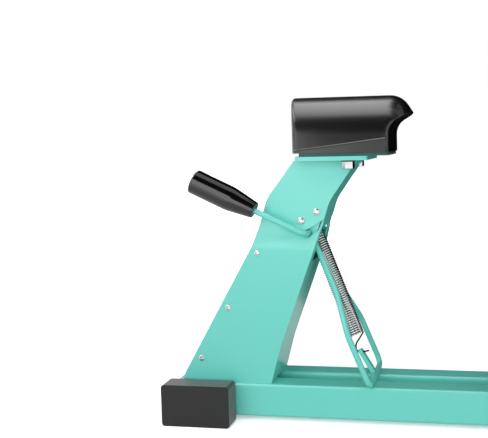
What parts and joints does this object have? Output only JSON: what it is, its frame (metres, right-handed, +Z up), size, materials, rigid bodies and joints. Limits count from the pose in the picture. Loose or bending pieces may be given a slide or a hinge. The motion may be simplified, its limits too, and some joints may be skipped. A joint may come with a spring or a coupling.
{
  "type": "cap heat press",
  "caption": "Clamshell heat press for caps: black curved platen on a mint stand with a wire tensioner, two rails, cross feet and a hinged heated arm.",
  "frame": {"origin": "middle of the base's underside, where it stands on the table", "axes": "+X from the operator's side to the hinge tower, +Y away from the side seen in the picture, +Z up"},
  "size_m": [0.5844, 0.1374, 0.734],
  "materials": {
    "frame_paint": "gloss powder coat, mint",
    "cap_rubber": "satin black moulded rubber",
    "bright_zinc": "bright zinc plating",
    "black_steel": "black oxide",
    "spring_steel": "zinc plated spring wire",
    "ground_steel": "bright ground bar",
    "bush_bronze": "satin bronze",
    "platen_silicone": "satin black moulded silicone",
    "cast_aluminium": "as cast",
    "grip_plastic": "gloss black",
    "sleeve_rubber": "matte black foam",
    "element_silicone": "matte red silicone",
    "insulation_felt": "matte felt",
    "housing_paint": "satin black powder coat",
    "display_glass": "dark gloss window",
    "board_laminate": "matte green laminate",
    "button_plastic": "satin grey",
    "switch_plastic": "gloss black"
  },
  "bodies": {
    "base": {"front_foot": "frame_paint", "rear_foot": "frame_paint", "rail_near": "frame_paint", "rail_far": "frame_paint", "foot_cap_front_near": "cap_rubber", "foot_cap_front_far": "cap_rubber", "foot_cap_rear_near": "cap_rubber", "foot_cap_rear_far": "cap_rubber", "stand_side_near": "frame_paint", "stand_side_far": "frame_paint", "stand_back_web": "frame_paint", "neck_front_web": "frame_paint", "front_cover": "frame_paint", "stand_base_plate": "frame_paint", "cover_screws": "bright_zinc", "stand_bolts": "bright_zinc", "platen_flange": "frame_paint", "platen_base_plate": "black_steel", "platen_bolts": "bright_zinc", "platen_washers": "black_steel", "platen_core": "cast_aluminium", "platen_pad": "platen_silicone", "pivot_bracket": "frame_paint", "pivot_bolts": "bright_zinc", "spring_anchor": "spring_steel", "tension_spring": "spring_steel", "tower_base": "frame_paint", "tower_plate_near": "frame_paint", "tower_plate_far": "frame_paint", "tower_back": "frame_paint", "tower_bolts": "bright_zinc", "hinge_pin": "ground_steel", "link_pins": "ground_steel", "box_base": "frame_paint", "box_cover": "housing_paint", "display_window": "display_glass", "circuit_board": "board_laminate", "mains_inlet": "switch_plastic"},
    "tensioner": {"tension_bail": "frame_paint", "spring_lug": "frame_paint", "lever_grip": "grip_plastic"},
    "arm": {"upper_arm": "frame_paint", "hinge_bushes": "bush_bronze", "lever_pin": "ground_steel", "arm_springs": "spring_steel"},
    "lever": {"main_lever": "frame_paint", "handle_sleeves": "sleeve_rubber"},
    "links": {"toggle_links": "frame_paint"},
    "heater": {"platen_yoke": "black_steel", "heater_housing": "housing_paint", "insulation_pad": "insulation_felt", "heating_element": "element_silicone", "hot_platen": "cast_aluminium", "yoke_screws": "bright_zinc"},
    "screw": {"pressure_screw": "ground_steel", "pressure_knob": "grip_plastic"},
    "down_button": {"button_down": "button_plastic"},
    "set_button": {"button_set": "button_plastic"},
    "up_button": {"button_up": "button_plastic"},
    "rocker": {"power_switch": "switch_plastic"}
  },
  "joints": [
    {"name": "tensioner_pivot", "type": "hinge", "parent": "base", "child": "tensioner", "pos_m": [-0.1164, 0, 0.2268], "axis": [0, -1, 0], "range_deg": [0, 27], "stiffness_Nm_per_rad": 0.3, "springref_deg": -14.32, "deforming": ["tension_spring"]},
    {"name": "arm_hinge", "type": "hinge", "parent": "base", "child": "arm", "pos_m": [0.19, 0, 0.41], "axis": [0, -1, 0], "range_deg": [0, 60], "stiffness_Nm_per_rad": 10, "springref_deg": -34.38},
    {"name": "lever_pivot", "type": "hinge", "parent": "arm", "child": "lever", "pos_m": [0.19196, 0, 0.5266], "axis": [0, -1, 0], "range_deg": [0, 22.7]},
    {"name": "link_pivot", "type": "hinge", "parent": "base", "child": "links", "pos_m": [0.18, 0, 0.43], "axis": [0, -1, 0], "range_deg": [0, 65.2]},
    {"name": "platen_height", "type": "slide", "parent": "arm", "child": "heater", "axis": [0.866, 0, 0.5], "range_m": [-0.004, 0.004]},
    {"name": "pressure_screw_turn", "type": "hinge", "parent": "heater", "child": "screw", "pos_m": [0.07732, 0, 0.64517], "axis": [0.866, 0, 0.5], "range_deg": [-823, 823]},
    {"name": "down_button_press", "type": "slide", "parent": "base", "child": "down_button", "axis": [0.848, 0, -0.53], "range_m": [0, 0.001], "stiffness_N_per_m": 300},
    {"name": "set_button_press", "type": "slide", "parent": "base", "child": "set_button", "axis": [0.848, 0, -0.53], "range_m": [0, 0.001], "stiffness_N_per_m": 300},
    {"name": "up_button_press", "type": "slide", "parent": "base", "child": "up_button", "axis": [0.848, 0, -0.53], "range_m": [0, 0.001], "stiffness_N_per_m": 300},
    {"name": "rocker_tilt", "type": "hinge", "parent": "base", "child": "rocker", "pos_m": [0.131, -0.043, 0.074], "axis": [1, 0, 0], "range_deg": [0, 10]}
  ],
  "couplings": [
    {"joint": "lever_pivot", "follows": "arm_hinge", "ratio": 0.3783},
    {"joint": "link_pivot", "follows": "arm_hinge", "ratio": 1.085},
    {"joint": "pressure_screw_turn", "follows": "platen_height", "rad_per_m": 3590.4}
  ]
}
